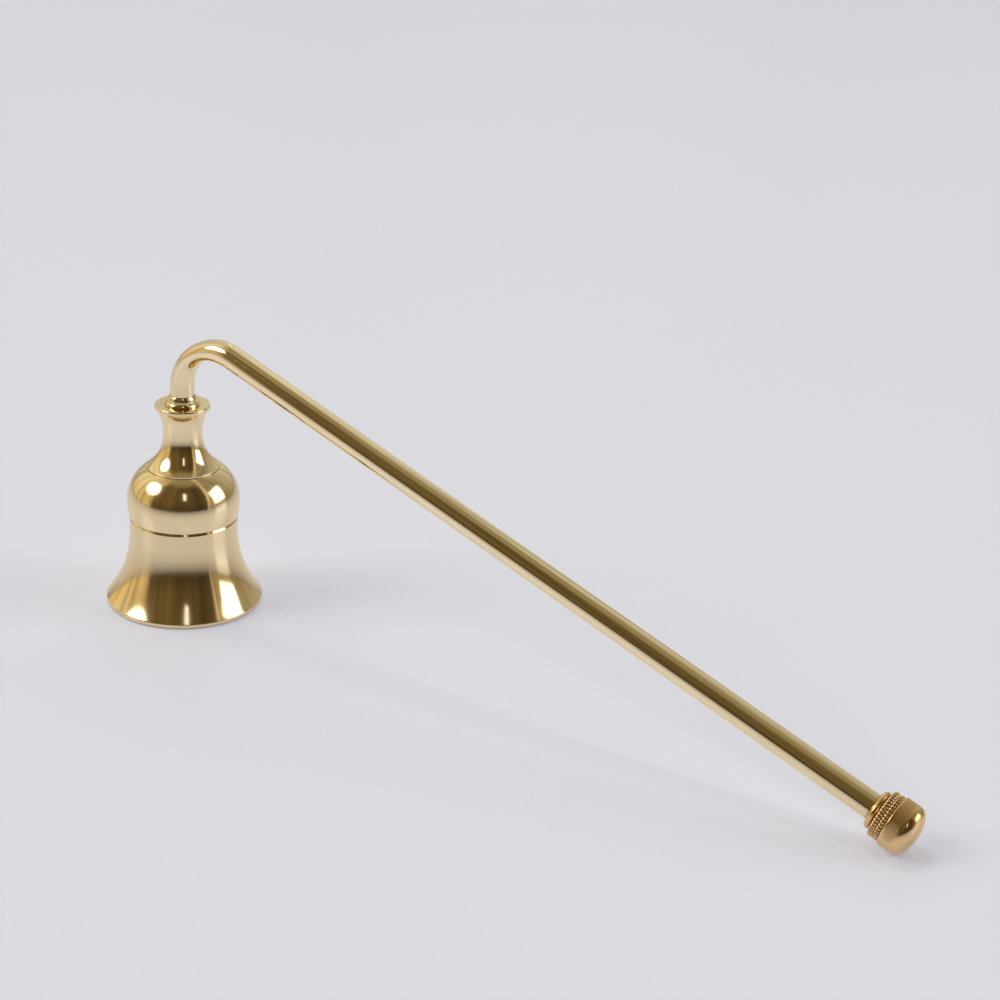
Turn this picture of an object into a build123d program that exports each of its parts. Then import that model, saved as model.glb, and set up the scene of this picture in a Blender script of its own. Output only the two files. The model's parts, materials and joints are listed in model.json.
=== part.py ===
from build123d import *
import os
from math import asin, cos, degrees, pi, sin, sqrt

# Candle snuffer: a turned brass bell that swivels on the end of a bent brass tube,
# with a small beaded knob screwed on the other end.
# Lengths are in millimetres, angles in degrees. +Z is up, the tube falls along +X,
# and the origin is the middle of the bell's mouth, on the surface it stands on.

# Clearances shared by the pieces
running_clearance = 0.05
end_clearance = 0.05
joint_fit = 0.02

# Skirt: the flared lower half of the bell
mouth_radius = 16.5
rim_height = 1.0
rim_round = 0.4
lip_width = 0.9
skirt_top_radius = 11.38
skirt_wall = 1.6
skirt_height = 19.4
skirt_flare_height = 15.9
skirt_spigot_length = 3.0
seam_chamfer_depth = 0.34
seam_chamfer_height = 0.62

# Dome: the rounded shoulder that sits on the skirt
dome_edge_proud = 0.12
dome_swell = 0.33
dome_belly_rise = 3.5
dome_height = 10.8
dome_top_radius = 7.85
dome_wall = 1.2
dome_top_wall = 1.3
dome_ceiling_radius = 7.0
dome_edge_round = 0.15

# Neck: the spindle with the flared collar
neck_foot_inset = 0.2
neck_foot_land = 0.35
neck_height = 14.7
neck_waist_radius = 4.04
neck_waist_rise = 7.45
neck_throat_swell = 0.28
neck_throat_rise = 2.6
neck_spigot_radius = 3.0
neck_spigot_relief = 0.1
collar_radius = 5.77
collar_rim_height = 0.85
collar_rim_round = 0.35
collar_dish = 0.25
hub_height = 0.95
hub_taper = 0.5
socket_depth = 2.0

# Handle: a tube bent over the bell and falling to the knob
tube_radius = 2.5
stud_radius = 1.5
bend_radius = 10.0
bend_squeeze = 0.5
bend_spread = 0.22
bend_sections = 5
tube_run = 155.3
ring_wall = 0.55
ring_top_wall = 0.15
ring_height = 1.2
ring_to_bend = 1.6

# Studs, washer and nut that hold the bell and the knob on the tube
bell_stud_insert = 3.6
bell_stud_tail = 1.0
knob_stud_insert = 8.0
knob_stud_reach = 7.0
washer_radius = 4.5
washer_thickness = 0.8
nut_across_flats = 5.5
nut_height = 2.4
nut_chamfer = 0.35

# Knob: a bead ring, a beaded grip ring and a domed barrel
bead_ring_radius = 3.8
bead_ring_width = 1.4
grip_radius = 4.65
grip_row_width = 1.1
grip_rows = 2
grip_crown = 0.35
grip_bead_count = 40
grip_notch_depth = 0.32
grip_notch_share = 0.7
barrel_radius = 4.9
barrel_length = 2.9
barrel_dome = 2.55
barrel_corner = 1.9
barrel_edge_round = 0.3
barrel_spigot_wall = 1.5
barrel_hole_spare = 0.5

# Heights of the bell, from the mouth up
dome_edge_radius = skirt_top_radius + dome_edge_proud
dome_belly_radius = dome_edge_radius + dome_swell
dome_bore_radius = dome_belly_radius - dome_wall
dome_belly_height = skirt_height + dome_belly_rise
dome_top_height = skirt_height + dome_height
dome_ceiling_height = dome_top_height - dome_top_wall
neck_foot_radius = dome_top_radius - neck_foot_inset
neck_waist_height = dome_top_height + neck_waist_rise
neck_throat_height = neck_waist_height + neck_throat_rise
neck_top_height = dome_top_height + neck_height
hub_base_height = neck_top_height - hub_height
collar_rim_top = hub_base_height + collar_dish
socket_floor_height = neck_top_height - socket_depth

# Heights of what the tube carries at the bell
tube_end_height = socket_floor_height + end_clearance
ring_base_height = neck_top_height + end_clearance
ring_top_height = ring_base_height + ring_height
bend_height = ring_top_height + ring_to_bend
washer_top_height = dome_ceiling_height - end_clearance
nut_top_height = washer_top_height - washer_thickness
nut_base_height = nut_top_height - nut_height
stud_hole_radius = stud_radius + running_clearance

# Places along the knob, measured from the tube's end along its axis
grip_start = end_clearance + bead_ring_width + end_clearance
grip_width = grip_rows * grip_row_width
barrel_start = grip_start + grip_width
barrel_dome_start = barrel_start + barrel_length
barrel_tip = barrel_dome_start + barrel_dome
barrel_spigot_radius = stud_hole_radius + barrel_spigot_wall


def knob_reach_down(fall):
    # How far the knob reaches below the tube's end, for a tube that falls at this angle
    return barrel_dome_start * sin(fall) + (barrel_radius - barrel_corner) * cos(fall) + barrel_corner


# The tube falls at the angle that lays the knob on the surface the bell stands on
fall_angle = 0
for step in range(60):
    bend_rise = bend_radius * cos(fall_angle)
    fall_sine = (bend_height + bend_rise - knob_reach_down(fall_angle)) / tube_run
    fall_angle = asin(fall_sine)
bend_turn = pi / 2 + fall_angle


def bend_plane(turn):
    # Cross-section plane of the bend after this much of its turn; x points away from its centre
    place = (bend_radius * (1 - cos(turn)), 0, bend_height + bend_radius * sin(turn))
    return Plane(origin=place, x_dir=(-cos(turn), 0, sin(turn)), z_dir=(sin(turn), 0, cos(turn)))


run_plane = bend_plane(bend_turn)
knob_plane = run_plane.offset(tube_run)
knob_axis = Axis(knob_plane.origin, knob_plane.z_dir)
# Profiles of the knob: x is the radius and y the distance from the tube's end
knob_profile_plane = Plane(origin=knob_plane.origin, x_dir=knob_plane.x_dir, z_dir=(0, 1, 0))

os.makedirs("parts", exist_ok=True)

# Bell skirt
with BuildPart() as bell_skirt:
    spigot_radius = dome_bore_radius - joint_fit
    skirt_inner_radius = skirt_top_radius - skirt_wall
    lip_inner_radius = mouth_radius - rim_round - lip_width
    spigot_top = skirt_height + skirt_spigot_length
    with BuildSketch(Plane.XZ) as skirt_profile:
        with BuildLine():
            Polyline(
                (skirt_inner_radius, skirt_flare_height),
                (skirt_inner_radius, spigot_top),
                (spigot_radius, spigot_top),
                (spigot_radius, skirt_height),
                (skirt_top_radius - seam_chamfer_depth, skirt_height),
                (skirt_top_radius, skirt_height - seam_chamfer_height),
                (skirt_top_radius, skirt_flare_height),
            )
            TangentArc(
                (skirt_top_radius, skirt_flare_height), (mouth_radius, rim_height), tangent=(0, -1)
            )
            Polyline((mouth_radius, rim_height), (mouth_radius, 0), (lip_inner_radius, 0))
            TangentArc(
                (skirt_inner_radius, skirt_flare_height), (lip_inner_radius, 0), tangent=(0, -1)
            )
        make_face()
        rim_corners = skirt_profile.vertices().sort_by(Axis.X)[-2:]
        fillet(rim_corners, radius=rim_round)
    revolve(axis=Axis.Z)

# Bell dome
with BuildPart() as bell_dome:
    neck_hole_radius = neck_spigot_radius + joint_fit
    with BuildSketch(Plane.XZ) as dome_profile:
        with BuildLine():
            Polyline(
                (dome_bore_radius, dome_belly_height),
                (dome_bore_radius, skirt_height),
                (dome_edge_radius, skirt_height),
            )
            TangentArc(
                (dome_belly_radius, dome_belly_height), (dome_edge_radius, skirt_height), tangent=(0, -1)
            )
            TangentArc(
                (dome_belly_radius, dome_belly_height), (dome_top_radius, dome_top_height), tangent=(0, 1)
            )
            Polyline(
                (dome_top_radius, dome_top_height),
                (neck_hole_radius, dome_top_height),
                (neck_hole_radius, dome_ceiling_height),
                (dome_ceiling_radius, dome_ceiling_height),
            )
            TangentArc(
                (dome_bore_radius, dome_belly_height),
                (dome_ceiling_radius, dome_ceiling_height),
                tangent=(0, 1),
            )
        make_face()
        lower_corners = dome_profile.vertices().group_by(Axis.Y)[0]
        fillet(lower_corners.sort_by(Axis.X)[-1], radius=dome_edge_round)
    revolve(axis=Axis.Z)

# Bell neck with its collar
with BuildPart() as bell_neck:
    collar_edge_height = collar_rim_top - collar_rim_height
    socket_radius = tube_radius + running_clearance
    hub_top_radius = tube_radius + ring_wall
    hub_radius = hub_top_radius + hub_taper
    spigot_end = dome_ceiling_height + neck_spigot_relief
    throat_radius = neck_waist_radius + neck_throat_swell
    with BuildSketch(Plane.XZ) as neck_profile:
        with BuildLine():
            Polyline(
                (neck_foot_radius, dome_top_height + neck_foot_land),
                (neck_foot_radius, dome_top_height),
                (neck_spigot_radius, dome_top_height),
                (neck_spigot_radius, spigot_end),
                (stud_hole_radius, spigot_end),
                (stud_hole_radius, socket_floor_height),
                (socket_radius, socket_floor_height),
                (socket_radius, neck_top_height),
                (hub_top_radius, neck_top_height),
            )
            TangentArc(
                (hub_radius, hub_base_height), (hub_top_radius, neck_top_height), tangent=(0, 1)
            )
            Polyline(
                (hub_radius, hub_base_height),
                (collar_radius, collar_rim_top),
                (collar_radius, collar_edge_height),
            )
            TangentArc(
                (neck_waist_radius, neck_waist_height),
                (neck_foot_radius, dome_top_height + neck_foot_land),
                tangent=(0, -1),
            )
            throat = TangentArc(
                (neck_waist_radius, neck_waist_height), (throat_radius, neck_throat_height), tangent=(0, 1)
            )
            TangentArc(
                (throat_radius, neck_throat_height), (collar_radius, collar_edge_height), tangent=throat % 1
            )
        make_face()
        rim_corners = neck_profile.vertices().filter_by_position(
            Axis.Y, collar_edge_height - joint_fit, collar_rim_top + joint_fit
        )
        fillet(rim_corners.sort_by(Axis.X)[-2:], radius=collar_rim_round)
    revolve(axis=Axis.Z)

# Bent tube of the handle: round in its straight runs, squeezed a little in the bend
with BuildPart() as handle_tube:
    tube_bore_radius = stud_radius + joint_fit
    bell_end = Plane.XY.offset(tube_end_height)
    bell_end_run = bend_height - tube_end_height
    with BuildLine(Plane.XZ) as bend_path:
        JernArc(
            start=(0, bend_height), tangent=(0, 1), radius=bend_radius, arc_size=-degrees(bend_turn)
        )
    for section_radius, mode in ((tube_radius, Mode.ADD), (tube_bore_radius, Mode.SUBTRACT)):
        bend_faces = []
        for index in range(bend_sections):
            turn_share = index / (bend_sections - 1)
            squeeze_share = sin(pi * turn_share) ** 2
            with BuildSketch(bend_plane(bend_turn * turn_share), mode=Mode.PRIVATE) as section:
                Ellipse(
                    section_radius - bend_squeeze * squeeze_share,
                    section_radius + bend_spread * squeeze_share,
                )
            bend_faces.append(section.sketch)
        sweep(bend_faces, path=bend_path.wire(), multisection=True, mode=mode)
        with BuildSketch(bell_end):
            Circle(section_radius)
        extrude(amount=bell_end_run, mode=mode)
        with BuildSketch(run_plane):
            Circle(section_radius)
        extrude(amount=tube_run, mode=mode)

# Ring on the tube that keeps the bell down, tapering up to the tube
with BuildPart() as tube_ring:
    ring_bore_radius = tube_radius + joint_fit
    ring_base_radius = tube_radius + ring_wall
    ring_top_radius = tube_radius + ring_top_wall
    with BuildSketch(Plane.XZ):
        with BuildLine():
            Polyline(
                (ring_top_radius, ring_top_height),
                (ring_bore_radius, ring_top_height),
                (ring_bore_radius, ring_base_height),
                (ring_base_radius, ring_base_height),
            )
            TangentArc(
                (ring_base_radius, ring_base_height), (ring_top_radius, ring_top_height), tangent=(0, 1)
            )
        make_face()
    revolve(axis=Axis.Z)

# Stud that carries the bell
with BuildPart() as bell_stud:
    bell_stud_base = nut_base_height - bell_stud_tail
    bell_stud_length = tube_end_height + bell_stud_insert - bell_stud_base
    with BuildSketch(Plane.XY.offset(bell_stud_base)):
        Circle(stud_radius)
    extrude(amount=bell_stud_length)

# Washer under the dome
with BuildPart() as bell_washer:
    with BuildSketch(Plane.XY.offset(nut_top_height)):
        Circle(washer_radius)
        Circle(stud_hole_radius, mode=Mode.SUBTRACT)
    extrude(amount=washer_thickness)

# Nut under the washer
with BuildPart() as bell_nut:
    nut_corner_radius = nut_across_flats / sqrt(3)
    with BuildSketch(Plane.XY.offset(nut_base_height)):
        RegularPolygon(nut_corner_radius, 6)
    extrude(amount=nut_height)
    with BuildSketch(Plane.XZ) as nut_crown:
        with BuildLine():
            Polyline(
                (0, nut_base_height),
                (nut_across_flats / 2, nut_base_height),
                (nut_corner_radius, nut_base_height + nut_chamfer),
                (nut_corner_radius, nut_top_height),
                (0, nut_top_height),
                close=True,
            )
        make_face()
    revolve(axis=Axis.Z, mode=Mode.INTERSECT)
    with BuildSketch(Plane.XY.offset(nut_base_height)):
        Circle(stud_radius + joint_fit)
    extrude(amount=nut_height, mode=Mode.SUBTRACT)

# Stud that carries the knob
with BuildPart() as knob_stud:
    with BuildSketch(knob_plane.offset(-knob_stud_insert)):
        Circle(stud_radius)
    extrude(amount=knob_stud_insert + knob_stud_reach)

# Loose bead ring between the tube and the knob
with BuildPart() as knob_bead_ring:
    bead_middle = end_clearance + bead_ring_width / 2
    bead_round = bead_ring_width / 2
    with BuildSketch(knob_profile_plane):
        with BuildLine():
            Polyline(
                (bead_ring_radius - bead_round, bead_middle - bead_round),
                (stud_hole_radius, bead_middle - bead_round),
                (stud_hole_radius, bead_middle + bead_round),
                (bead_ring_radius - bead_round, bead_middle + bead_round),
            )
            ThreePointArc(
                (bead_ring_radius - bead_round, bead_middle - bead_round),
                (bead_ring_radius, bead_middle),
                (bead_ring_radius - bead_round, bead_middle + bead_round),
            )
        make_face()
    revolve(axis=knob_axis)

# Grip ring: rows of beads, each row set half a bead from the last
with BuildPart() as knob_grip_ring:
    grip_edge_radius = grip_radius - grip_crown
    notch_half_width = grip_notch_share * pi * grip_radius / grip_bead_count
    with BuildSketch(knob_profile_plane):
        with BuildLine():
            Polyline(
                (grip_edge_radius, grip_start),
                (barrel_spigot_radius + joint_fit, grip_start),
                (barrel_spigot_radius + joint_fit, barrel_start),
                (grip_edge_radius, barrel_start),
            )
            for row in range(grip_rows):
                row_start = grip_start + row * grip_row_width
                ThreePointArc(
                    (grip_edge_radius, row_start),
                    (grip_radius, row_start + grip_row_width / 2),
                    (grip_edge_radius, row_start + grip_row_width),
                )
        make_face()
    revolve(axis=knob_axis)
    for row in range(grip_rows):
        row_plane = knob_plane.offset(grip_start + row * grip_row_width)
        row_turn = row * 180 / grip_bead_count
        with BuildSketch(row_plane):
            with PolarLocations(grip_radius, grip_bead_count, start_angle=row_turn):
                Polygon(
                    (-grip_notch_depth, 0),
                    (grip_notch_depth, -2 * notch_half_width),
                    (grip_notch_depth, 2 * notch_half_width),
                    align=None,
                )
        extrude(amount=grip_row_width, mode=Mode.SUBTRACT)

# Barrel of the knob with its domed end and the spigot that holds the grip ring
with BuildPart() as knob_barrel:
    hole_end = knob_stud_reach + barrel_hole_spare
    # The crown is part of a ball that runs into the rounded corner
    corner_middle = barrel_radius - barrel_corner
    crown_ball = (corner_middle**2 + barrel_dome**2 - barrel_corner**2) / (2 * (barrel_dome - barrel_corner))
    crown_middle = barrel_tip - crown_ball
    crown_share = crown_ball / (crown_ball - barrel_corner)
    crown_edge_radius = crown_share * corner_middle
    crown_edge_place = crown_middle + crown_share * (barrel_dome_start - crown_middle)
    with BuildSketch(knob_profile_plane) as barrel_profile:
        with BuildLine():
            Polyline(
                (0, barrel_tip),
                (0, hole_end),
                (stud_hole_radius, hole_end),
                (stud_hole_radius, grip_start),
                (barrel_spigot_radius, grip_start),
                (barrel_spigot_radius, barrel_start),
                (barrel_radius, barrel_start),
                (barrel_radius, barrel_dome_start),
            )
            corner = TangentArc(
                (barrel_radius, barrel_dome_start), (crown_edge_radius, crown_edge_place), tangent=(0, 1)
            )
            TangentArc(
                (crown_edge_radius, crown_edge_place), (0, barrel_tip), tangent=corner % 1
            )
        make_face()
        widest_corners = barrel_profile.vertices().sort_by(Axis.X)[-2:]
        fillet(widest_corners.sort_by(Axis.Y)[0], radius=barrel_edge_round)
    revolve(axis=knob_axis)

pieces = {
    "bell_skirt": bell_skirt,
    "bell_dome": bell_dome,
    "bell_neck": bell_neck,
    "handle_tube": handle_tube,
    "tube_ring": tube_ring,
    "bell_stud": bell_stud,
    "bell_washer": bell_washer,
    "bell_nut": bell_nut,
    "knob_stud": knob_stud,
    "knob_bead_ring": knob_bead_ring,
    "knob_grip_ring": knob_grip_ring,
    "knob_barrel": knob_barrel,
}
for name, piece in pieces.items():
    piece.part.label = name
    export_step(piece.part, f"parts/{name}.step")
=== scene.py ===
import json
from math import atan2, cos, pi, radians, sin, sqrt, tan

import bpy
from mathutils import Matrix, Vector


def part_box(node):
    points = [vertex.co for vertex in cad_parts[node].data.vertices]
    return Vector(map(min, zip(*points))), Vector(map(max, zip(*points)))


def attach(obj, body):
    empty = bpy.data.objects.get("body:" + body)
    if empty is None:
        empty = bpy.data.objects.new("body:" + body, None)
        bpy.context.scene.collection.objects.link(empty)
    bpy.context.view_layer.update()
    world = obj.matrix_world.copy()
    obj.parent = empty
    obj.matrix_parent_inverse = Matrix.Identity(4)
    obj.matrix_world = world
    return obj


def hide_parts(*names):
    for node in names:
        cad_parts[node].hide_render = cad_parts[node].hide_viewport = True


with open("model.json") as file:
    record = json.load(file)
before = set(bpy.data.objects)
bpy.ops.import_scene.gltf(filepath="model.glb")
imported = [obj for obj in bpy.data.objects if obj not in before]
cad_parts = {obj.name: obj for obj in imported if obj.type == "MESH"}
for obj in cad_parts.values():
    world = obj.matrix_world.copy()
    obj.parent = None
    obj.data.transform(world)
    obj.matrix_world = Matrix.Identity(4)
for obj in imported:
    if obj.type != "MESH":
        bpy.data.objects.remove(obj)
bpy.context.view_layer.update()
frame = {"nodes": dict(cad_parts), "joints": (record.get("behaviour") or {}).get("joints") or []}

# Candle snuffer in polished brass: a turned bell on a bent tube with a beaded knob.
# Lengths are in metres, in the frame of the solids.

# Sizes and places read from the frame
skirt_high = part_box("bell_skirt")[1]
dome_low, dome_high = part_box("bell_dome")
neck_low, neck_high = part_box("bell_neck")
ring_low, ring_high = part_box("tube_ring")
washer_low, washer_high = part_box("bell_washer")
bell_stud_low, bell_stud_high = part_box("bell_stud")
joints = {joint["name"]: joint for joint in frame["joints"]}
knob_place = Vector(joints["knob_unscrew"]["pos_m"])
knob_direction = Vector(joints["knob_unscrew"]["axis"]).normalized()
mouth_radius = skirt_high.x
spigot_top = skirt_high.z
seam_height = dome_low.z
belly_radius = dome_high.x
dome_top = dome_high.z
foot_radius = neck_high.x
neck_spigot_end = neck_low.z
neck_top = neck_high.z
stud_radius = bell_stud_high.x
joint_fit = 0.00002
end_gap = 0.00005
edge_round = 0.00012
same_point = edge_round / 100
smooth_limit = radians(32)

# Bell
rim_height = 0.0010
rim_round = 0.0004
lip_width = 0.0009
skirt_top_radius = 0.01138
skirt_wall = 0.0016
flare_height = 0.0159
seam_chamfer_depth = 0.00034
seam_chamfer_height = 0.00062
dome_edge_radius = 0.0115
dome_edge_round = 0.00015
dome_bore_radius = 0.01063
belly_height = 0.0229
dome_top_radius = 0.00785
dome_ceiling = dome_top - 0.0013
dome_ceiling_radius = 0.007
neck_hole_radius = 0.00302
foot_land = 0.00035
foot_round = 0.00008
waist_radius = 0.00404
waist_height = 0.03765
throat_radius = 0.00432
throat_height = 0.04025
collar_radius = 0.00577
collar_round = 0.00035
hub_base = neck_top - 0.00095
hub_radius = 0.00355
hub_top_radius = 0.00305
collar_rim_top = hub_base + 0.00025
collar_rim_bottom = collar_rim_top - 0.00085
socket_radius = 0.00255
socket_floor = neck_top - 0.0020
stud_hole_radius = 0.00155

# Handle
tube_radius = 0.0025
tube_bore_radius = 0.00152
tube_end_round = 0.00015
bend_radius = 0.010
bend_height = 0.04775
bend_squeeze = 0.0005
bend_spread = 0.00022
ring_top_radius = 0.00265

# Knob, measured from the tube's end along its axis
bead_width = 0.0014
bead_radius = 0.0038
grip_start = 0.0015
grip_row_width = 0.0011
grip_rows = 2
grip_beads = 40
grip_base_radius = 0.00429
grip_bead_height = 0.00036
grip_bead_segments = 14
grip_edge_share = 0.002
barrel_start = grip_start + grip_rows * grip_row_width
barrel_length = 0.0029
barrel_radius = 0.0049
barrel_dome = 0.00255
barrel_corner = 0.0019
barrel_edge_round = 0.0003
barrel_spigot_radius = 0.00305
barrel_hole_end = 0.0075
knurl_count = 104
knurl_depth = 0.00005
knurl_segments = 6
knurl_fade_start = 0.1
knurl_fade_in = 8.0
knurl_fade_out = 6.0
knob_stud_insert = 0.008
knob_stud_reach = 0.007

# Threads
thread_pitch = 0.0005
thread_depth = 0.00027
thread_crest_rise = 1.35
thread_smooth_limit = radians(50)

# Reflected colour of each kind of brass
BELL_COLOUR = (0.96, 0.79, 0.50)
TUBE_COLOUR = (0.97, 0.82, 0.54)
KNOB_COLOUR = (0.86, 0.61, 0.31)
FASTENER_COLOUR = (0.80, 0.64, 0.36)

# Wear on the brass: cloudy tarnish, handling marks and fine tool lines, and painted shade that darkens the
# crevices
EDGE_TINT = (1.0, 0.97, 0.90)
CLOUD_SCALE = 90.0
CLOUD_DETAIL = 5.0
CLOUD_RANGE = (0.30, 0.68)
CLOUD_TINT = (0.95, 0.93, 0.88)
# Painted shade: where ambient occlusion finds a crevice, the brass colour is darkened towards this tint
CREVICE_REACH = 0.0009
CREVICE_SAMPLES = 6
CREVICE_RANGE = (0.25, 0.8)
CREVICE_SHADE_TINT = (0.45, 0.34, 0.22)
MARK_SCALE = 260.0
MARK_DETAIL = 6.0
MARK_ROUGHNESS = 0.6
MARK_RANGE = (0.35, 0.75)
MARK_GLOSS = (0.9, 1.3)
LINE_DETAIL = 3.0
LINE_DEPTH = 0.00002

# Floor and room. The walls are given by how far they turn from the object's back to the camera's
# side, once near the floor and once higher up.
FLOOR_SIZE = 24.0
FLOOR_DROP = 0.00001
FLOOR_COLOUR = (0.80, 0.825, 0.90)
FLOOR_GLOW = (0.70, 0.75, 1.0)
FLOOR_GLOW_STRENGTH = 0.31
FLOOR_GLOSS_COLOUR = (0.60, 0.60, 0.62)
FLOOR_GLOSS_IOR = 1.45
FLOOR_GLOSS_ROUGHNESS = 0.2
FLOOR_CAMERA_DULLING = 0.82
BACKDROP_COLOUR = (0.69, 0.69, 0.73)
WALLS_LOW = (
    (0.0, (0.50, 0.49, 0.46)),
    (0.22, (0.40, 0.30, 0.14)),
    (0.5, (0.46, 0.36, 0.18)),
    (0.71, (0.39, 0.31, 0.15)),
    (0.77, (0.050, 0.034, 0.013)),
)
WALLS_HIGH = (
    (0.0, (0.56, 0.54, 0.49)),
    (0.25, (0.45, 0.41, 0.29)),
    (0.5, (0.42, 0.36, 0.22)),
    (0.71, (0.34, 0.26, 0.11)),
    (0.77, (0.095, 0.066, 0.027)),
)
CEILING_COLOUR = (0.29, 0.245, 0.14)
WALL_RISE = 0.35
CEILING_RISE = 0.87
STRETCH_SCALE = 7.0
STRETCH_PLACE = 3.9
STRETCH_DETAIL = 3.0
STRETCH_RANGE = (0.32, 0.68)
STRETCH_TONES = (0.6, 1.4)
LEFT_TONE = 1.55
RIGHT_TONE = 0.68
LAMP_DISTANCE = 3.0

# Camera, in a frame turned about the bell so that it looks along +Y
CAMERA_TURN = radians(32.2)
CAMERA_PLACE = (0.0668, -0.4040, 0.19625)
CAMERA_PITCH = radians(22.84)
CAMERA_ROLL = radians(2.95)
CAMERA_SENSOR = 36.0
CAMERA_LENS = 74.88
CAMERA_CLIP_START = 0.01
TO_PART = Matrix.Rotation(CAMERA_TURN, 4, "Z")


# Shapes
def tangent_arc(start, leaving, end, steps):
    """Points of the arc from start, which it leaves along a unit direction, to end."""
    chord = end - start
    normal = Vector((-leaving.y, leaving.x))
    side = chord.dot(normal)
    centre = start + normal * (chord.length_squared / (2 * side))
    turn = 2 * atan2(side, chord.dot(leaving))
    spoke = start - centre
    return [centre + Matrix.Rotation(turn * step / steps, 2) @ spoke for step in range(1, steps + 1)]


class Profile:
    """Half section of a turned piece, as points of radius and height walked once round."""

    def __init__(self, radius, height):
        self.points = [Vector((radius, height))]
        self.corners = {}

    def line(self, radius, height, corner=0.0):
        self.points.append(Vector((radius, height)))
        return self.mark(corner)

    def arc(self, radius, height, leaving=None, steps=40, corner=0.0):
        """An arc that leaves the last point in a given direction, or smoothly if none is given."""
        start = self.points[-1]
        leaving = Vector(leaving) if leaving else (start - self.points[-2]).normalized()
        self.points += tangent_arc(start, leaving, Vector((radius, height)), steps)
        return self.mark(corner)

    def arc_arriving(self, radius, height, arriving, steps=40, corner=0.0):
        """An arc that arrives at its end in a given direction."""
        end = Vector((radius, height))
        back = tangent_arc(end, -Vector(arriving), self.points[-1], steps)
        self.points += back[-2::-1] + [end]
        return self.mark(corner)

    def mark(self, corner):
        """Notes the rounding that the last point gets."""
        if corner:
            self.corners[len(self.points) - 1] = corner
        return self

    def rounding(self, index, radius, steps=8):
        """How far a corner's rounding reaches from it, and the points of that rounding."""
        corner = self.points[index]
        before = (self.points[index - 1] - corner).normalized()
        after = (self.points[(index + 1) % len(self.points)] - corner).normalized()
        reach = radius / tan(before.angle(after) / 2)
        start = corner + before * reach
        return reach, [start] + tangent_arc(start, -before, corner + after * reach, steps)

    def outline(self):
        """The section's points, with each marked corner rounded and no point given twice."""
        rounded = {index: self.rounding(index, radius) for index, radius in self.corners.items()}
        cuts = [(self.points[index], reach) for index, (reach, arc) in rounded.items()]
        drawn = []
        for index, point in enumerate(self.points):
            if index in rounded:
                drawn += rounded[index][1]
            elif all((point - corner).length > reach for corner, reach in cuts):
                drawn.append(point)
        if (drawn[0] - drawn[-1]).length < same_point:
            drawn.pop()
        return drawn


def add_mesh(name, points, faces, place=None, sharp=smooth_limit):
    """A smooth mesh object at the origin, with its place in its points."""
    mesh = bpy.data.meshes.new(name)
    mesh.from_pydata(points, [], faces)
    if place is not None:
        mesh.transform(place)
    mesh.validate()
    mesh.update()
    for polygon in mesh.polygons:
        polygon.use_smooth = True
    mesh.set_sharp_from_angle(angle=sharp)
    piece = bpy.data.objects.new(name, mesh)
    bpy.context.scene.collection.objects.link(piece)
    return piece


def join_rings(rings, closed):
    """Faces between rings of equal count, each a list of point numbers; a ring of one is a pole."""
    faces = []
    last = len(rings) if closed else len(rings) - 1
    for index in range(last):
        lower = rings[index]
        upper = rings[(index + 1) % len(rings)]
        count = max(len(lower), len(upper))
        for step in range(count):
            following = (step + 1) % count
            if len(lower) == 1 and len(upper) == 1:
                continue
            if len(lower) == 1:
                faces.append((lower[0], upper[following], upper[step]))
            elif len(upper) == 1:
                faces.append((lower[step], lower[following], upper[0]))
            else:
                faces.append((lower[step], lower[following], upper[following], upper[step]))
    return faces


def turned(name, outline, segments=256, place=None, relief=None):
    """A turned piece: the outline revolved about its axis, with relief added to the radius."""
    points = []
    rings = []
    for radius, height in outline:
        if radius < joint_fit:
            rings.append([len(points)])
            points.append((0.0, 0.0, height))
            continue
        ring = []
        for step in range(segments):
            turn = 2 * pi * step / segments
            reach = radius + (relief(radius, height, turn) if relief else 0.0)
            ring.append(len(points))
            points.append((reach * cos(turn), reach * sin(turn), height))
        rings.append(ring)
    return add_mesh(name, points, join_rings(rings, closed=True), place)


def on_axis(place, direction):
    """Matrix that stands a piece made about Z at a place, along a direction."""
    turn = direction.to_track_quat("Z", "Y").to_matrix().to_4x4()
    return Matrix.Translation(place) @ turn


knob_frame = on_axis(knob_place, knob_direction)


# Bell
def make_skirt():
    inner = skirt_top_radius - skirt_wall
    spigot = dome_bore_radius - joint_fit
    profile = Profile(inner, flare_height)
    profile.line(inner, spigot_top, corner=edge_round)
    profile.line(spigot, spigot_top, corner=edge_round)
    profile.line(spigot, seam_height)
    profile.line(skirt_top_radius - seam_chamfer_depth, seam_height)
    profile.line(skirt_top_radius, seam_height - seam_chamfer_height, corner=edge_round)
    profile.line(skirt_top_radius, flare_height)
    profile.arc(mouth_radius, rim_height, leaving=(0, -1), steps=90, corner=rim_round)
    profile.line(mouth_radius, 0.0, corner=rim_round)
    profile.line(mouth_radius - rim_round - lip_width, 0.0, corner=edge_round)
    profile.arc_arriving(inner, flare_height, arriving=(0, 1), steps=60)
    return turned("bell_skirt_turned", profile.outline())


def make_dome():
    profile = Profile(dome_bore_radius, belly_height)
    profile.line(dome_bore_radius, seam_height, corner=edge_round)
    profile.line(dome_edge_radius, seam_height, corner=dome_edge_round)
    profile.arc_arriving(belly_radius, belly_height, arriving=(0, 1))
    profile.arc(dome_top_radius, dome_top, leaving=(0, 1), steps=70, corner=foot_round)
    profile.line(neck_hole_radius, dome_top)
    profile.line(neck_hole_radius, dome_ceiling, corner=edge_round)
    profile.line(dome_ceiling_radius, dome_ceiling)
    profile.arc_arriving(dome_bore_radius, belly_height, arriving=(0, -1))
    return turned("bell_dome_turned", profile.outline())


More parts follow.
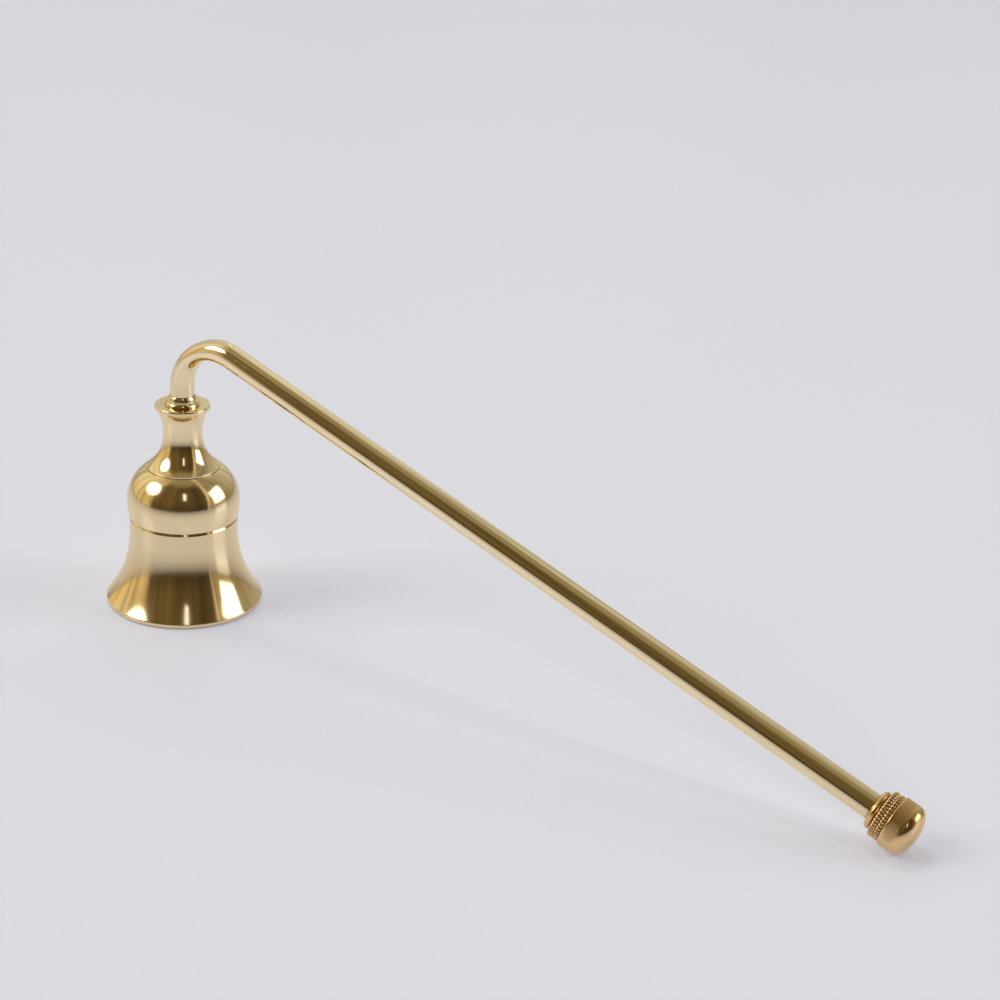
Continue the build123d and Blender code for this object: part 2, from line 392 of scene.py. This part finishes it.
def make_neck():
    spigot = neck_hole_radius - joint_fit
    profile = Profile(waist_radius, waist_height)
    profile.arc(throat_radius, throat_height, leaving=(0, 1), steps=24)
    profile.arc(collar_radius, collar_rim_bottom, corner=collar_round)
    profile.line(collar_radius, collar_rim_top, corner=collar_round)
    profile.line(hub_radius, hub_base)
    profile.arc(hub_top_radius, neck_top, leaving=(0, 1), steps=16, corner=edge_round)
    profile.line(socket_radius, neck_top, corner=edge_round)
    profile.line(socket_radius, socket_floor)
    profile.line(stud_hole_radius, socket_floor)
    profile.line(stud_hole_radius, neck_spigot_end, corner=edge_round)
    profile.line(spigot, neck_spigot_end, corner=edge_round)
    profile.line(spigot, dome_top)
    profile.line(foot_radius, dome_top, corner=foot_round)
    profile.line(foot_radius, dome_top + foot_land, corner=foot_round)
    profile.arc_arriving(waist_radius, waist_height, arriving=(0, 1), steps=80)
    return turned("bell_neck_turned", profile.outline())


# Handle
def make_ring():
    inner = tube_radius + joint_fit
    profile = Profile(inner, ring_low.z)
    profile.line(ring_high.x, ring_low.z)
    profile.arc(ring_top_radius, ring_high.z, leaving=(0, 1), steps=16)
    profile.line(inner, ring_high.z)
    return turned("tube_ring_turned", profile.outline(), segments=128)


def make_washer():
    profile = Profile(stud_hole_radius, washer_low.z)
    profile.line(washer_high.x, washer_low.z, corner=edge_round)
    profile.line(washer_high.x, washer_high.z, corner=edge_round)
    profile.line(stud_hole_radius, washer_high.z)
    return turned("bell_washer_turned", profile.outline(), segments=96)


def tube_stations(bend_steps=120):
    """Places along the tube's axis, each with its turn in the bend and its share of the squeeze."""
    tube_end = socket_floor + end_gap
    stations = []
    for height in (tube_end, tube_end + tube_end_round, bend_height):
        stations.append((Vector((0, 0, height)), 0.0, 0.0))
    bend_turn = pi / 2 + atan2(-knob_direction.z, knob_direction.x)
    for step in range(1, bend_steps + 1):
        turn = bend_turn * step / bend_steps
        place = Vector((bend_radius * (1 - cos(turn)), 0, bend_height + bend_radius * sin(turn)))
        stations.append((place, turn, sin(pi * step / bend_steps) ** 2))
    run = (knob_place - stations[-1][0]).length
    for left in (run * 3 / 4, run / 2, run / 4, tube_end_round, 0.0):
        stations.append((knob_place - knob_direction * left, bend_turn, 0.0))
    return stations


def make_tube(segments=96):
    """The bent tube, round in its straight runs and squeezed a little in the bend."""
    stations = tube_stations()
    points = []
    outer_rings = []
    inner_rings = []
    for index, (place, turn, share) in enumerate(stations):
        outward = Vector((-cos(turn), 0, sin(turn)))
        at_end = index in (0, len(stations) - 1)
        outer_radius = tube_radius - (tube_end_round if at_end else 0.0)
        for rings, radius in ((outer_rings, outer_radius), (inner_rings, tube_bore_radius)):
            rings.append(list(range(len(points), len(points) + segments)))
            for step in range(segments):
                angle = 2 * pi * step / segments
                rise = (radius - bend_squeeze * share) * cos(angle)
                aside = (radius + bend_spread * share) * sin(angle)
                points.append(place + outward * rise + Vector((0, aside, 0)))
    loop = outer_rings + inner_rings[::-1]
    return add_mesh("handle_tube_bent", points, join_rings(loop, closed=True))


def make_stud(name, length, place, direction, segments=48, steps_per_turn=10):
    """A threaded stud: a bar with a rolled thread that fades in at its ends."""
    rows = round(length / thread_pitch * steps_per_turn)
    points = [(0.0, 0.0, 0.0)]
    rings = [[0]]
    for row in range(rows + 1):
        height = length * row / rows
        fade = min(1.0, height / thread_pitch, (length - height) / thread_pitch)
        rings.append(list(range(len(points), len(points) + segments)))
        for step in range(segments):
            phase = (height / thread_pitch - step / segments) % 1.0
            crest = min(1.0, thread_crest_rise * (1.0 - abs(2 * phase - 1)))
            radius = stud_radius - thread_depth * (1 - crest * fade)
            turn = 2 * pi * step / segments
            points.append((radius * cos(turn), radius * sin(turn), height))
    rings.append([len(points)])
    points.append((0.0, 0.0, length))
    faces = join_rings(rings, closed=False)
    return add_mesh(name, points, faces, on_axis(place, direction), thread_smooth_limit)


def make_bell_stud():
    length = bell_stud_high.z - bell_stud_low.z
    return make_stud("bell_stud_threaded", length, Vector((0, 0, bell_stud_low.z)), Vector((0, 0, 1)))


def make_knob_stud():
    start = knob_place - knob_direction * knob_stud_insert
    return make_stud("knob_stud_threaded", knob_stud_insert + knob_stud_reach, start, knob_direction)


# Knob
def make_bead_ring():
    flat = bead_radius - bead_width / 2
    bead_end = end_gap + bead_width
    profile = Profile(stud_hole_radius, end_gap)
    profile.line(flat, end_gap)
    profile.arc(flat, bead_end, leaving=(1, 0), steps=32)
    profile.line(stud_hole_radius, bead_end)
    return turned("knob_bead_ring_turned", profile.outline(), 160, knob_frame)


def bead_relief(radius, height, turn):
    """Rise of the grip ring's beads: domes in rows, each row set half a bead from the last."""
    if radius < grip_base_radius - joint_fit:
        return 0.0
    row = (height - grip_start) / grip_row_width
    across = 2 * (row % 1.0) - 1
    along = turn * grip_beads / (2 * pi) + 0.5 * int(row)
    around = 2 * (along % 1.0) - 1
    return grip_bead_height * sqrt(max(0.0, 1 - across**2)) * sqrt(max(0.0, 1 - around**2))


def make_grip_ring(steps=44):
    inner = barrel_spigot_radius + joint_fit
    width = barrel_start - grip_start
    profile = Profile(inner, barrel_start)
    profile.line(inner, grip_start)
    for step in range(steps + 1):
        share = min(max(step / steps, grip_edge_share), 1 - grip_edge_share)
        profile.line(grip_base_radius, grip_start + width * share)
    segments = grip_beads * grip_bead_segments
    return turned("knob_grip_ring_beaded", profile.outline(), segments, knob_frame, bead_relief)


def knurl_relief(radius, height, turn):
    """Fine straight knurl on the barrel's side, which fades out at both ends."""
    if radius < barrel_radius - joint_fit:
        return 0.0
    place = (height - barrel_start) / barrel_length
    rising = knurl_fade_in * (place - knurl_fade_start)
    falling = knurl_fade_out * (1.0 - place)
    fade = max(0.0, min(1.0, rising, falling))
    return -knurl_depth * fade * (0.5 + 0.5 * cos(knurl_count * turn))


def make_barrel(steps=24):
    dome_start = barrel_start + barrel_length
    tip = dome_start + barrel_dome
    # The crown is part of a ball that runs into the rounded corner
    corner_middle = barrel_radius - barrel_corner
    ball = (corner_middle**2 + barrel_dome**2 - barrel_corner**2) / (2 * (barrel_dome - barrel_corner))
    ball_middle = tip - ball
    share = ball / (ball - barrel_corner)
    crown_edge = ball_middle + share * (dome_start - ball_middle)
    profile = Profile(0.0, barrel_hole_end)
    profile.line(stud_hole_radius, barrel_hole_end)
    profile.line(stud_hole_radius, grip_start, corner=edge_round)
    profile.line(barrel_spigot_radius, grip_start)
    profile.line(barrel_spigot_radius, barrel_start)
    profile.line(barrel_radius, barrel_start, corner=barrel_edge_round)
    for step in range(1, steps + 1):
        profile.line(barrel_radius, barrel_start + barrel_length * step / steps)
    profile.arc(share * corner_middle, crown_edge, leaving=(0, 1), steps=30)
    profile.arc(0.0, tip, steps=30)
    segments = knurl_count * knurl_segments
    return turned("knob_barrel_turned", profile.outline(), segments, knob_frame, knurl_relief)


# Shader nodes
def opaque(colour):
    return (*colour, 1.0)


def tinted(colour, tint):
    return tuple(part * share for part, share in zip(colour, tint))


def feed(tree, node, inputs):
    """Sets a node's inputs, each to a fixed value or to the output that feeds it."""
    for socket, value in inputs.items():
        if isinstance(value, bpy.types.NodeSocket):
            tree.links.new(value, node.inputs[socket])
        else:
            node.inputs[socket].default_value = value


def add_node(tree, kind, inputs=None, **settings):
    """A new node with its settings and inputs."""
    node = tree.nodes.new(kind)
    for setting, value in settings.items():
        setattr(node, setting, value)
    feed(tree, node, inputs or {})
    return node


def add_math(tree, operation, *values):
    """The output of a sum on up to three values."""
    return add_node(tree, "ShaderNodeMath", dict(enumerate(values)), operation=operation).outputs["Value"]


def add_dot(tree, source, direction):
    """The output of how far a vector reaches along a direction."""
    inputs = {0: source, 1: direction}
    return add_node(tree, "ShaderNodeVectorMath", inputs, operation="DOT_PRODUCT").outputs["Value"]


def add_noise(tree, dimensions="3D", **inputs):
    """The output of a noise texture."""
    return add_node(tree, "ShaderNodeTexNoise", inputs, noise_dimensions=dimensions).outputs["Fac"]


def add_range(tree, source, taken, given=(0.0, 1.0), curve="LINEAR"):
    """The output of a value moved from the range that it is taken in to a given range."""
    inputs = {
        "Value": source,
        "From Min": taken[0],
        "From Max": taken[1],
        "To Min": given[0],
        "To Max": given[1],
    }
    return add_node(tree, "ShaderNodeMapRange", inputs, interpolation_type=curve).outputs["Result"]


def add_mix(tree, share, first, second, blend="MIX"):
    """The output of a mix of two colours."""
    inputs = {"Factor": share, "A": first, "B": second}
    return add_node(tree, "ShaderNodeMix", inputs, data_type="RGBA", blend_type=blend).outputs["Result"]


def add_ramp(tree, source, stops):
    """The output of a colour ramp with the given stops."""
    ramp = add_node(tree, "ShaderNodeValToRGB", {"Fac": source})
    elements = ramp.color_ramp.elements
    elements[0].position, elements[0].color = stops[0][0], opaque(stops[0][1])
    elements[1].position, elements[1].color = stops[-1][0], opaque(stops[-1][1])
    for position, colour in stops[1:-1]:
        elements.new(position).color = opaque(colour)
    return ramp.outputs["Color"]


def new_material(name):
    """A material and its node tree."""
    material = bpy.data.materials.new(name)
    material.use_nodes = True
    return material, material.node_tree


# Finish
def brass(name, colour, roughness, grain, grain_size, across=(0, 0, 1)):
    """Polished brass: faint tarnish, painted shade that darkens the crevices, handling marks and fine tool
    lines.
    """
    material, tree = new_material(name)
    where = add_node(tree, "ShaderNodeTexCoord").outputs["Object"]

    clouds = add_noise(tree, Vector=where, Scale=CLOUD_SCALE, Detail=CLOUD_DETAIL)
    dull, clean = CLOUD_RANGE
    tone = add_ramp(tree, clouds, ((dull, tinted(colour, CLOUD_TINT)), (clean, colour)))
    # Painted shade: ambient occlusion darkens the colour in crevices and where pieces meet, mixed over the
    # cloudy tarnish
    crevice = add_node(
        tree, "ShaderNodeAmbientOcclusion", {"Distance": CREVICE_REACH}, samples=CREVICE_SAMPLES
    )
    openness = add_range(tree, crevice.outputs["AO"], CREVICE_RANGE)
    tarnish_and_crevice_shade = add_mix(tree, openness, opaque(tinted(colour, CREVICE_SHADE_TINT)), tone)

    marks = add_noise(tree, Vector=where, Scale=MARK_SCALE, Detail=MARK_DETAIL, Roughness=MARK_ROUGHNESS)
    gloss = add_range(tree, marks, MARK_RANGE, (roughness * MARK_GLOSS[0], roughness * MARK_GLOSS[1]))

    axial = add_dot(tree, where, across)
    lines = add_noise(tree, "1D", W=axial, Scale=1.0 / grain_size, Detail=LINE_DETAIL)
    bump = add_node(tree, "ShaderNodeBump", {"Strength": grain, "Distance": LINE_DEPTH, "Height": lines})
    feed(tree, tree.nodes["Principled BSDF"], {
        "Metallic": 1.0,
        "Specular Tint": opaque(EDGE_TINT),
        "Base Color": tarnish_and_crevice_shade,
        "Roughness": gloss,
        "Normal": bump.outputs["Normal"],
    })
    return material


def dress(piece, body, material, node):
    """Finishes a piece: its material, the body that it rides on and the solid that it stands for."""
    piece.data.materials.append(material)
    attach(piece, body)
    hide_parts(node)


bell_finish = brass("bell_brass_polished", BELL_COLOUR, roughness=0.13, grain=0.08, grain_size=0.00025)
tube_finish = brass(
    "tube_brass_drawn", TUBE_COLOUR, roughness=0.09, grain=0.05, grain_size=0.0004, across=(0, 1, 0)
)
knob_finish = brass(
    "knob_brass_turned", KNOB_COLOUR, roughness=0.17, grain=0.10, grain_size=0.00018, across=knob_direction
)
fastener_finish = brass(
    "fastener_brass_turned", FASTENER_COLOUR, roughness=0.26, grain=0.2, grain_size=0.0002
)

dress(make_skirt(), "bell", bell_finish, "bell_skirt")
dress(make_dome(), "bell", bell_finish, "bell_dome")
dress(make_neck(), "bell", bell_finish, "bell_neck")
dress(make_tube(), "handle", tube_finish, "handle_tube")
dress(make_ring(), "handle", bell_finish, "tube_ring")
dress(make_washer(), "handle", fastener_finish, "bell_washer")
dress(make_bell_stud(), "handle", fastener_finish, "bell_stud")
dress(make_knob_stud(), "handle", fastener_finish, "knob_stud")
dress(make_bead_ring(), "knob_collar", knob_finish, "knob_bead_ring")
dress(make_grip_ring(), "knob", knob_finish, "knob_grip_ring")
dress(make_barrel(), "knob", knob_finish, "knob_barrel")
# The nut shows as its solid, with the fasteners' finish
nut = frame["nodes"]["bell_nut"]
nut.data.materials.clear()
nut.data.materials.append(fastener_finish)


# Floor, room, lamps and camera
def make_floor():
    """A plain pale floor, a little glossy, that keeps the object's shadow."""
    half = FLOOR_SIZE / 2
    square = ((-half, -half), (half, -half), (half, half), (-half, half))
    floor = add_mesh("floor", [(x, y, -FLOOR_DROP) for x, y in square], [(0, 1, 2, 3)])
    material, tree = new_material("floor_pale")
    tree.nodes.remove(tree.nodes["Principled BSDF"])
    rays = add_node(tree, "ShaderNodeLightPath").outputs
    matt = add_node(tree, "ShaderNodeBsdfDiffuse", {"Color": opaque(FLOOR_COLOUR)}).outputs["BSDF"]
    # A faint even glow, for the camera and in reflections only, that keeps the shadows soft
    seen = add_math(tree, "MAXIMUM", rays["Is Camera Ray"], rays["Is Glossy Ray"])
    strength = add_math(tree, "MULTIPLY", seen, FLOOR_GLOW_STRENGTH)
    glow = add_node(tree, "ShaderNodeEmission", {"Color": opaque(FLOOR_GLOW), "Strength": strength})
    base = add_node(tree, "ShaderNodeAddShader", {0: matt, 1: glow.outputs["Emission"]}).outputs["Shader"]
    # The gloss is weaker for the camera, so that the backdrop stays plain
    gloss = add_node(tree, "ShaderNodeBsdfGlossy", {
        "Color": opaque(FLOOR_GLOSS_COLOUR),
        "Roughness": FLOOR_GLOSS_ROUGHNESS,
    }).outputs["BSDF"]
    fresnel = add_node(tree, "ShaderNodeFresnel", {"IOR": FLOOR_GLOSS_IOR}).outputs["Fac"]
    dulling = add_math(tree, "MULTIPLY_ADD", rays["Is Camera Ray"], -FLOOR_CAMERA_DULLING, 1.0)
    sheen = add_math(tree, "MULTIPLY", fresnel, dulling)
    coated = add_node(tree, "ShaderNodeMixShader", {0: sheen, 1: base, 2: gloss}).outputs["Shader"]
    # From below the floor is clear, so that the bell's inside can be seen
    back = add_node(tree, "ShaderNodeNewGeometry").outputs["Backfacing"]
    clear = add_node(tree, "ShaderNodeBsdfTransparent").outputs["BSDF"]
    shown = add_node(tree, "ShaderNodeMixShader", {0: back, 1: coated, 2: clear}).outputs["Shader"]
    feed(tree, tree.nodes["Material Output"], {"Surface": shown})
    floor.data.materials.append(material)


def make_room():
    """The room that the brass mirrors: pale behind the object, dark on the camera's side."""
    world = bpy.data.worlds.new("room")
    world.use_nodes = True
    tree = world.node_tree
    where = add_node(tree, "ShaderNodeTexCoord").outputs["Generated"]
    height = add_node(tree, "ShaderNodeSeparateXYZ", {"Vector": where}).outputs["Z"]
    level = add_node(tree, "ShaderNodeVectorMath", {0: where, 1: (1.0, 1.0, 0.0)}, operation="MULTIPLY")
    unit = add_node(tree, "ShaderNodeVectorMath", {0: level.outputs["Vector"]}, operation="NORMALIZE")
    bearing = unit.outputs["Vector"]
    facing = add_dot(tree, bearing, TO_PART @ Vector((0, -1, 0)))
    spread = add_range(tree, facing, (-1.0, 1.0))
    low = add_ramp(tree, spread, WALLS_LOW)
    high = add_ramp(tree, spread, WALLS_HIGH)
    walls = add_mix(tree, add_range(tree, height, (0.0, WALL_RISE), curve="SMOOTHSTEP"), low, high)
    # Upright light and dark stretches of the walls
    stretches = add_noise(
        tree, "4D", Vector=bearing, W=STRETCH_PLACE, Scale=STRETCH_SCALE, Detail=STRETCH_DETAIL
    )
    tone = add_range(tree, stretches, STRETCH_RANGE, STRETCH_TONES)
    # More light from the camera's left than from its right
    aside = add_dot(tree, bearing, TO_PART @ Vector((1, 0, 0)))
    side = add_range(tree, aside, (-1.0, 1.0), (LEFT_TONE, RIGHT_TONE))
    uneven = add_mix(tree, 1.0, walls, add_math(tree, "MULTIPLY", tone, side), blend="MULTIPLY")
    overhead = add_range(tree, height, (CEILING_RISE, 1.0), curve="SMOOTHSTEP")
    room = add_mix(tree, overhead, uneven, opaque(CEILING_COLOUR))
    # The camera sees a plain pale backdrop behind the floor
    seen = add_node(tree, "ShaderNodeLightPath").outputs["Is Camera Ray"]
    backdrop = add_mix(tree, seen, room, opaque(BACKDROP_COLOUR))
    feed(tree, tree.nodes["Background"], {"Color": backdrop})
    bpy.context.scene.world = world


def soft_box(name, azimuth, elevation, width, height, brightness, shape="RECTANGLE", mirrored=True):
    """A lamp by its bearing from the camera's view, its height and its spread, all in degrees."""
    lamp = bpy.data.lights.new(name, "AREA")
    lamp.shape = shape
    lamp.size = 2 * LAMP_DISTANCE * tan(radians(width / 2))
    lamp.size_y = 2 * LAMP_DISTANCE * tan(radians(height / 2))
    fill = pi / 4 if shape == "ELLIPSE" else 1.0
    lamp.energy = brightness * pi * fill * lamp.size * lamp.size_y
    turn = radians(azimuth)
    tilt = radians(elevation)
    direction = TO_PART @ Vector((sin(turn) * cos(tilt), cos(turn) * cos(tilt), sin(tilt)))
    box = bpy.data.objects.new(name, lamp)
    box.matrix_world = on_axis(direction * LAMP_DISTANCE, direction)
    box.visible_glossy = mirrored
    bpy.context.scene.collection.objects.link(box)


def make_camera():
    """The camera at the photograph's angle."""
    data = bpy.data.cameras.new("photo_view")
    data.sensor_width = CAMERA_SENSOR
    data.lens = CAMERA_LENS
    data.clip_start = CAMERA_CLIP_START
    camera = bpy.data.objects.new("photo_view", data)
    tilt = Matrix.Rotation(pi / 2 - CAMERA_PITCH, 4, "X")
    roll = Matrix.Rotation(CAMERA_ROLL, 4, "Z")
    camera.matrix_world = TO_PART @ Matrix.Translation(CAMERA_PLACE) @ tilt @ roll
    bpy.context.scene.collection.objects.link(camera)
    bpy.context.scene.camera = camera


make_floor()
make_room()
soft_box("left_box", azimuth=-104, elevation=38.5, width=30, height=28, brightness=3.2, shape="ELLIPSE")
soft_box("right_box", azimuth=90, elevation=22, width=28, height=31, brightness=2.2)
soft_box("front_strip", azimuth=168, elevation=40, width=4.5, height=19, brightness=1.6)
# Overhead lamp for the handle's shadow, kept out of the brass's reflections
soft_box("top_box", azimuth=-35, elevation=72, width=9, height=9, brightness=8.0, mirrored=False)
make_camera()
bpy.context.scene.view_settings.view_transform = "Standard"
